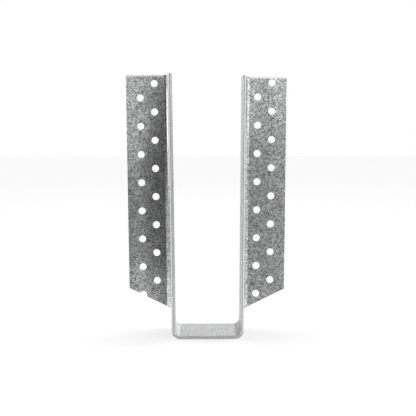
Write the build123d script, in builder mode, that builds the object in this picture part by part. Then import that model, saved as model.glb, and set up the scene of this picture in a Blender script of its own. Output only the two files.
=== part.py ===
from build123d import *
from math import cos, pi, radians, sin
import os

# Face-mount joist hanger, punched and folded from one strip of galvanised steel.
#
# X runs across the hanger, Y from the joist side (-Y) to the header side (+Y) and Z up.
# The origin is under the middle of the seat. Heights run up the slope of a leg from the
# underside of the seat, and widths run outwards from the outer face of a leg.

# Sheet and folds
thickness = 2.0
bend_radius = 4.0  # inside radius of every fold
splay = radians(0.6)  # how far each leg springs open after folding

# Stirrup
inside_width = 45.0
depth = 50.0

# The strip lay a little to one side when it was folded, so its two ends differ slightly
left_leg = 179.7
right_leg = 178.3
left_flange = 30.7
right_flange = 30.1

# Lower edges of the flanges: height where the flat begins, and rise for each millimetre outwards
left_cut = 15.1
right_cut = 14.6
cut_slope = 0.505
relief_width = 3.0

# Nail holes
nail_hole = 5.0
hole_pitch = 20.0
hole_count = 8
column_gap = 10.0
left_column = 10.8
right_column = 9.9
left_top_holes = (173.7, 163.7)  # height of the top hole in each column
right_top_holes = (164.1, 174.1)
joist_hole_pitch = 40.0
joist_hole_count = 4
joist_columns = ((-12.0, 25.0), (8.0, 45.0))  # place along Y and height of the lowest hole

front = -depth / 2
back = depth / 2
fold_start = back - thickness - bend_radius

# The lower edge is straight on the flat strip, so round the fold it drops with the arc's length
neutral_radius = bend_radius + thickness / 2
fold_drop = cut_slope * neutral_radius * pi / 2


def stirrup_profile(left_height, right_height):
    """The U that the joist sits in: seat, two round folds and two splayed legs."""
    corner = inside_width / 2
    left_rise = left_height - thickness
    right_rise = right_height - thickness
    with BuildSketch(Plane.XZ.offset(-front)) as profile:
        with BuildLine():
            FilletPolyline(
                (-corner - left_rise * sin(splay), thickness + left_rise * cos(splay)),
                (-corner, thickness),
                (corner, thickness),
                (corner + right_rise * sin(splay), thickness + right_rise * cos(splay)),
                radius=bend_radius,
            )
            offset(amount=thickness, side=Side.RIGHT)
        make_face()
    return profile.sketch


def flange_plane(side):
    """A plane along a flange: x outwards from the leg's outer face and y up the leg."""
    outwards = Vector(side * cos(splay), 0, -sin(splay))
    upwards = Vector(side * sin(splay), 0, cos(splay))
    inner_corner = Vector(side * inside_width / 2, 0, thickness)
    foot = inner_corner + (outwards - upwards) * thickness
    return Plane(origin=foot, x_dir=outwards, z_dir=outwards.cross(upwards))


def leg_plane(side):
    """A plane on a leg's outer face: x towards the header and y up the leg."""
    flange = flange_plane(side)
    return Plane(origin=flange.origin, x_dir=(0, 1, 0), z_dir=Vector(0, 1, 0).cross(flange.y_dir))


def heel_height(cut_height):
    """How high the strip keeps its whole depth, up to the slot under a fold."""
    return cut_height - fold_drop - relief_width


def folded_flange(side, leg_height, flange_width, cut_height):
    """One flange and its fold, with the blank's slanting lower edge."""
    flange = flange_plane(side)
    cut_at_leg = cut_height - fold_drop
    with BuildPart() as folded:
        # Fold and flat, drawn across the leg and run up to its top
        with BuildSketch(Plane(origin=flange.origin, x_dir=flange.x_dir, z_dir=flange.y_dir * side)):
            with BuildLine():
                FilletPolyline(
                    (0, fold_start - thickness),
                    (0, back - thickness),
                    (flange_width, back - thickness),
                    radius=bend_radius,
                )
                offset(amount=thickness, side=Side.LEFT)
            make_face()
        extrude(amount=side * leg_height)

        # Lower edge round the fold: a screw surface that climbs from leg to flat
        fold_axis = flange.origin + flange.x_dir * bend_radius + Vector(0, fold_start, 0)
        at_leg = Plane(
            origin=fold_axis + flange.y_dir * cut_at_leg,
            x_dir=-flange.x_dir,
            z_dir=flange.y_dir,
        )
        screw = Helix(4 * fold_drop, fold_drop, neutral_radius, lefthand=side > 0, mode=Mode.PRIVATE)
        with BuildSketch(Plane(origin=at_leg.origin, x_dir=at_leg.x_dir, z_dir=at_leg.y_dir)):
            with Locations((neutral_radius, 0)):
                Rectangle(2 * thickness, cut_at_leg + 2 * fold_drop, align=(Align.CENTER, Align.MIN))
        sweep(path=at_leg * screw, is_frenet=True, mode=Mode.SUBTRACT)

        # Lower edge across the flat
        clear_width = flange_width + thickness
        with BuildSketch(flange):
            with BuildLine():
                Polyline(
                    (bend_radius - thickness, -thickness),
                    (clear_width, -thickness),
                    (clear_width, cut_height + cut_slope * (clear_width - bend_radius)),
                    (bend_radius, cut_height),
                    close=True,
                )
            make_face()
        extrude(amount=depth, both=True, mode=Mode.SUBTRACT)

        # The leg's own stretch of the section goes where the stirrup already is
        split(bisect_by=Plane.XZ.offset(-fold_start), keep=Keep.BOTTOM)
    return folded.part


with BuildPart() as joist_hanger:
    # The stirrup, as far back as the folds of the flanges
    extrude(stirrup_profile(left_leg, right_leg), amount=front - fold_start)
    add(folded_flange(-1, left_leg, left_flange, left_cut))
    add(folded_flange(1, right_leg, right_flange, right_cut))

    # Round the seat the strip keeps its whole depth
    extrude(stirrup_profile(heel_height(left_cut), heel_height(right_cut)), amount=-depth)

    # Round end of the slot between heel and fold
    for side, cut_height in ((-1, left_cut), (1, right_cut)):
        with BuildSketch(leg_plane(side)):
            with Locations((fold_start, heel_height(cut_height) + relief_width / 2)):
                Circle(relief_width / 2)
        extrude(amount=thickness, both=True, mode=Mode.SUBTRACT)

    # Header nail holes, two columns staggered by half a pitch. The lower edge of the left
    # flange passes through its last outer hole and leaves a half-round notch.
    for side, column, top_holes in ((-1, left_column, left_top_holes), (1, right_column, right_top_holes)):
        with BuildSketch(flange_plane(side)):
            for offset_outwards, top_hole in zip((column, column + column_gap), top_holes):
                for number in range(hole_count):
                    with Locations((offset_outwards, top_hole - number * hole_pitch)):
                        Circle(nail_hole / 2)
        extrude(amount=depth, both=True, mode=Mode.SUBTRACT)

    # Joist nail holes through the legs
    for side in (-1, 1):
        with BuildSketch(leg_plane(side)):
            for place, lowest_hole in joist_columns:
                for number in range(joist_hole_count):
                    with Locations((place, lowest_hole + number * joist_hole_pitch)):
                        Circle(nail_hole / 2)
        extrude(amount=2 * thickness, both=True, mode=Mode.SUBTRACT)

os.makedirs("parts", exist_ok=True)
joist_hanger.part.label = "joist_hanger"
export_step(joist_hanger.part, "parts/joist_hanger.step")
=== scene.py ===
from math import cos, pi, radians, sin, tan

import bmesh
import bpy
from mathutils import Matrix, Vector


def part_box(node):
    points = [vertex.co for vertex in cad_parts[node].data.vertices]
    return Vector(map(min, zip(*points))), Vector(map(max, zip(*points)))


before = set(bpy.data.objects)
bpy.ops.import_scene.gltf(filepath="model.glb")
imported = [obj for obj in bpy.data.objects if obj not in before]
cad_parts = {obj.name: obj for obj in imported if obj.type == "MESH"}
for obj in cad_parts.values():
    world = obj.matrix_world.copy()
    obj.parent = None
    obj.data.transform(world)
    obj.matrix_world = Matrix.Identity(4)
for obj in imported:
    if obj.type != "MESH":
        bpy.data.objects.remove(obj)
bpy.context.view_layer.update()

# Folded hanger: one strip of 2 mm galvanised steel, punched, sheared and folded into a U
# with two flanges. The punch and the shear leave its edges slightly rounded, so the sheet's
# corners get a fine bevel.
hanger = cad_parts["joist_hanger"]
corner_break = 0.00018

weld = hanger.modifiers.new("one_skin", "WELD")
weld.merge_threshold = 1e-6
flats = hanger.modifiers.new("whole_flats", "DECIMATE")
flats.decimate_type = "DISSOLVE"
flats.angle_limit = radians(0.6)
broken_edges = hanger.modifiers.new("broken_edges", "BEVEL")
broken_edges.width = corner_break
broken_edges.segments = 2
broken_edges.profile = 0.5
broken_edges.limit_method = "ANGLE"
broken_edges.angle_limit = radians(50)
broken_edges.harden_normals = True


# Zinc skin: hot-dip galvanising freezes into a fine mottle of pale and grey crystals. Painted
# shade darkens it halfway up the flanges, and painted light makes it paler towards their tops.
class Socket:
    """A shader value whose sums, products and comparisons add Math nodes."""

    def __init__(self, tree, out):
        self.tree, self.out = tree, out

    def node(self, kind, settings=None, **inputs):
        """Add a node. An input is named, or numbered with an underscore before it."""
        made = self.tree.nodes.new(kind)
        for name, value in (settings or {}).items():
            setattr(made, name, value)
        for name, value in inputs.items():
            socket = made.inputs[int(name[1:])] if name[0] == "_" else made.inputs[name]
            if isinstance(value, Socket):
                self.tree.links.new(value.out, socket)
            else:
                socket.default_value = value
        return made

    def math(self, operation, *values, clamp=False):
        inputs = {f"_{number}": value for number, value in enumerate(values)}
        made = self.node("ShaderNodeMath", {"operation": operation, "use_clamp": clamp}, **inputs)
        return Socket(self.tree, made.outputs[0])

    def __add__(self, other):
        return self.math("ADD", self, other)

    __radd__ = __add__

    def __sub__(self, other):
        return self.math("SUBTRACT", self, other)

    def __rsub__(self, other):
        return self.math("SUBTRACT", other, self)

    def __mul__(self, other):
        return self.math("MULTIPLY", self, other)

    __rmul__ = __mul__

    def __truediv__(self, other):
        return self.math("DIVIDE", self, other)

    def __pow__(self, other):
        return self.math("POWER", self, other)

    def __abs__(self):
        return self.math("ABSOLUTE", self)

    def __gt__(self, other):
        return self.math("GREATER_THAN", self, other)

    def __lt__(self, other):
        return self.math("LESS_THAN", self, other)

    def above_zero(self):
        return self.math("MAXIMUM", self, 0.0)


zinc = bpy.data.materials.new("galvanised_sheet")
zinc.use_nodes = True
tree = zinc.node_tree
shader = tree.nodes["Principled BSDF"]
shader.inputs["Metallic"].default_value = 1.0
place = Socket(tree, tree.nodes.new("ShaderNodeTexCoord").outputs["Object"])
x, y, z = (Socket(tree, out) for out in place.node("ShaderNodeSeparateXYZ", _0=place).outputs)
right, left = x > 0, x < 0


def noise(scale, detail=2.0, roughness=0.5, distortion=0.0):
    """Noise centred on 0, with patches about 1/scale metres across."""
    made = place.node("ShaderNodeTexNoise", Vector=place, Scale=scale, Detail=detail,
                      Roughness=roughness, Distortion=distortion)
    return Socket(tree, made.outputs[0]) - 0.5


def patch(across, height, half_wide, half_tall):
    """A soft patch on a flange: 1 at its middle and 0 beyond its half width and height."""
    sideways, upwards = (x - across) / half_wide, (z - height) / half_tall
    near = (1 - (sideways * sideways + upwards * upwards)).above_zero()
    return near * near * (3 - 2 * near)


crystals = noise(760.0, detail=3.0, roughness=0.6, distortion=0.8)
veins = (1 - abs(noise(420.0, distortion=1.2)) * 14).above_zero()
specks = noise(1500.0, detail=1.0)
clouds = noise(90.0)
grain = crystals * 2.2 + specks * 2.6 + (veins - 0.3) * 0.5
mottle = 1 + grain * (1 + clouds * 1.6) + clouds * 0.5

# Painted shade: the flanges are darkened halfway up, most on the left one.
painted_mid_shade = (
    patch(-0.029, 0.082, 0.026, 0.095) * 0.62
    + patch(-0.063, 0.072, 0.018, 0.085) * 0.42
    + patch(0.042, 0.074, 0.026, 0.095) * 0.30
)
# Painted light: the flanges are paler towards their tops, and a little near the bottom of the left
# one.
painted_top_light = (
    patch(-0.064, 0.185, 0.030, 0.095) * 0.50
    + patch(-0.040, 0.015, 0.030, 0.040) * 0.10
    + patch(0.058, 0.185, 0.022, 0.050) * 0.10
    + patch(0.029, 0.175, 0.010, 0.060) * 0.15
)
zinc_tone_and_painted_light = 0.46 * mottle * (1 - painted_mid_shade + painted_top_light)

# Cut edges: the shear and the punches leave bare, bright steel edges with a darker line where
# it tore. Whatever lies inside the sheet's thickness is such an edge, so the distance from
# the sheet's middle, flat or folded, tells the edges from the zinc.
back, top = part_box("joist_hanger")[1][1:]
sheet = 0.002
fold = 0.004  # inside radius of each fold
half_width = 0.0225  # of the pocket between the legs
heel = 0.0085  # below this height the strip keeps its whole depth
lean = tan(radians(0.6))  # how far each leg springs open
inside_sheet = 0.00088  # just under half the thickness
tear_middle, tear_half = 0.0003, 0.00028

leg_outside = half_width + sheet
flange_start = leg_outside + fold
fold_start = back - sheet - fold
middle_radius = fold + sheet / 2
out = abs(x) - (z - sheet) * lean

seat_across = (out - (half_width - fold)).above_zero()
seat_down = ((sheet + fold) - z).above_zero()
flange_in = (flange_start - out).above_zero()
flange_back = (y - fold_start).above_zero()
from_seat = (seat_across * seat_across + seat_down * seat_down) ** 0.5 - middle_radius
from_flange = (flange_in * flange_in + flange_back * flange_back) ** 0.5 - middle_radius
seat_and_legs = abs(from_seat) + (y > fold_start) * (z > heel)
legs_and_flanges = abs(from_flange) + (z < sheet + fold)
cut = place.math("MINIMUM", seat_and_legs, legs_and_flanges) < inside_sheet

torn = abs(from_flange - tear_middle) < tear_half
# Painted shade: the cut edges low along the seat are darker.
seat_edge_shade = z < sheet + 0.001
bare_edge_and_shade = (0.92 - 0.55 * torn + specks * 0.6) * (1 - 0.42 * seat_edge_shade)

# Folds: a highlight is painted along the inside of each flange's fold and the left inside fold of
# the seat, and painted shade along the right inside fold of the seat.
highlight_reach = 0.003  # how far the painted highlight runs on along the leg
flange_fold = (out > half_width) * (out < flange_start) * (y > fold_start - highlight_reach) * (z > heel)
seat_fold = (seat_across > 0.0006) * (from_seat < -0.0009) * (z < sheet + fold)
fold_highlights_and_shade = flange_fold * (0.45 + 0.75 * left) + seat_fold * (left * 0.7 - right * 0.42)
# The seat's back edge is darker in dashes.
dark_back_dashes = (y > back - 0.0016) * (z < sheet + 0.0002) * (clouds > -0.03)

# Rolled lip: the shear drags the zinc down along the top of each flange, and a highlight is painted
# along it.
# The strip lay to one side when it was folded, so the right flange ends lower.
lip = 0.0015
shorter = 0.0014
up = z + (out - leg_outside) * lean
below_top = top - shorter * right - up
lip_highlight = place.math("MAXIMUM", 1 - below_top / lip, 0.0, clamp=True) * (out > flange_start)

# Marks from handling: a line scribed between the upper right nail holes and a light scratch near
# each flange's outer edge. Beside the line, bright specks in a row are painted glints.
column = leg_outside + 0.0199  # the right flange's outer column of nail holes
second_hole = 0.1541
scratch_half = 0.0003

scribed = (abs(out - column) < 0.00022) * (abs(up - second_hole) > 0.003) * (abs(up - 0.1530) < 0.018)
painted_glint_row = (abs(out - column - 0.0031) < 0.0007) * (abs(up - 0.160) < 0.011) * (crystals > 0.02)
right_scratch = (abs(up - 0.0826) < scratch_half) * (out > column) * (out < column + 0.008)
left_scratch = (abs(up - 0.0868 - (0.0505 - out) * 0.36) < scratch_half) * (out > 0.0505)
scratches = (right * right_scratch + left * left_scratch) * 0.45
marks_and_glints = right * (painted_glint_row * 0.7 - scribed * 0.55) + scratches - dark_back_dashes * 0.35

tone = zinc_tone_and_painted_light * (1 + fold_highlights_and_shade + lip_highlight * 2.6 + marks_and_glints) * (1 - cut) + bare_edge_and_shade * cut
colour = place.node("ShaderNodeMix", {"data_type": "RGBA"}, _0=tone,
                    _6=(0.0, 0.0, 0.0, 1), _7=(0.985, 0.995, 1.0, 1))
tree.links.new(colour.outputs[2], shader.inputs["Base Color"])
rough = 0.36 + clouds * 0.12 + crystals * 0.15 + cut * 0.1
tree.links.new(rough.out, shader.inputs["Roughness"])
bump = place.node("ShaderNodeBump", Strength=0.3, Distance=0.00003, Height=crystals + specks * 0.5)
tree.links.new(bump.outputs[0], shader.inputs["Normal"])
for slot in hanger.material_slots:
    slot.material = zinc

# Floor: a matt white sheet of paper under the hanger. It glows by itself only for the camera
# and for what mirrors it, so that it reads white and still keeps the hanger's shadow.
floor_half = 3.0
floor_drop = 0.0002
floor_glow = 0.555

grid = bmesh.new()
bmesh.ops.create_grid(grid, x_segments=1, y_segments=1, size=floor_half)
bmesh.ops.translate(grid, vec=(0, 0, -floor_drop), verts=grid.verts)
floor_mesh = bpy.data.meshes.new("floor")
grid.to_mesh(floor_mesh)
grid.free()
floor = bpy.data.objects.new("floor", floor_mesh)
bpy.context.scene.collection.objects.link(floor)

paper = bpy.data.materials.new("white_paper")
paper.use_nodes = True
matt = paper.node_tree.nodes["Principled BSDF"]
matt.inputs["Base Color"].default_value = (0.8, 0.8, 0.8, 1)
matt.inputs["Roughness"].default_value = 1.0
matt.inputs["Specular IOR Level"].default_value = 0.0
matt.inputs["Emission Strength"].default_value = 1.0
rays = paper.node_tree.nodes.new("ShaderNodeLightPath").outputs
seen, mirrored, through = (
    Socket(paper.node_tree, rays[f"Is {kind} Ray"]) for kind in ("Camera", "Glossy", "Transmission"))
glow = seen.node("ShaderNodeMix", {"data_type": "RGBA"}, _0=(seen + mirrored + through) * floor_glow,
                 _6=(0, 0, 0, 1), _7=(1, 1, 1, 1))
paper.node_tree.links.new(glow.outputs[2], matt.inputs["Emission Color"])
floor.data.materials.append(paper)

# Studio: a white wall on the header side lights the hanger and shows in it. On the joist side
# the room is white for the camera alone, and the metal mirrors only the soft boxes there.
world = bpy.data.worlds.new("studio")
bpy.context.scene.world = world
world.use_nodes = True
room = world.node_tree
seen = Socket(room, room.nodes.new("ShaderNodeLightPath").outputs["Is Camera Ray"])
towards = Socket(room, room.nodes.new("ShaderNodeTexCoord").outputs["Generated"])
wall = Socket(room, seen.node("ShaderNodeSeparateXYZ", _0=towards).outputs[1]) > 0.0
white = seen.math("MAXIMUM", seen, wall)
room.links.new(white.out, room.nodes["Background"].inputs["Color"])


def soft_box(name, where, size, strength, aim=(0, 0, 0.09)):
    """A square lamp turned to the hanger. The camera doesn't see it."""
    light = bpy.data.lights.new(name, "AREA")
    light.shape = "SQUARE"
    light.size = size
    light.energy = strength * (pi * size) ** 2
    lamp = bpy.data.objects.new(name, light)
    lamp.location = where
    lamp.rotation_euler = (Vector(aim) - Vector(where)).to_track_quat("-Z", "Y").to_euler()
    lamp.visible_camera = False
    bpy.context.scene.collection.objects.link(lamp)


def around(turn, height, away=1.4):
    """A place round the hanger, turned from the joist side to the right and raised, in degrees."""
    turn, height = radians(turn), radians(height)
    return (away * sin(turn) * cos(height), -away * cos(turn) * cos(height), 0.09 + away * sin(height))


soft_box("upper_light", (0, -0.25, 0.3), 0.12, 0.68, aim=(0, 0, 0.1))
soft_box("upper_right_light", (0.2, -0.25, 0.3), 0.12, 0.99, aim=(0, 0, 0.1))
soft_box("front_light", around(15, 12), 0.3, 1.35)
soft_box("right_light", around(60, 5), 0.55, 0.65)
soft_box("left_light", around(-80, 8, away=1.2), 0.35, 2.0)
soft_box("back_light", around(180, 25), 0.55, 0.11)

# Camera: at the joist side, a little left of the middle and level with the upper nails.
camera = bpy.data.cameras.new("camera")
camera.sensor_width = 36.0
camera.lens = 111.3
camera.clip_start, camera.clip_end = 0.01, 50.0
eye = bpy.data.objects.new("camera", camera)
eye.location = (-0.0042, -0.8885, 0.1595)
eye.rotation_euler = (radians(90 - 4.65), radians(0.15), radians(-0.32))
bpy.context.scene.collection.objects.link(eye)
bpy.context.scene.camera = eye
bpy.context.scene.view_settings.view_transform = "Standard"
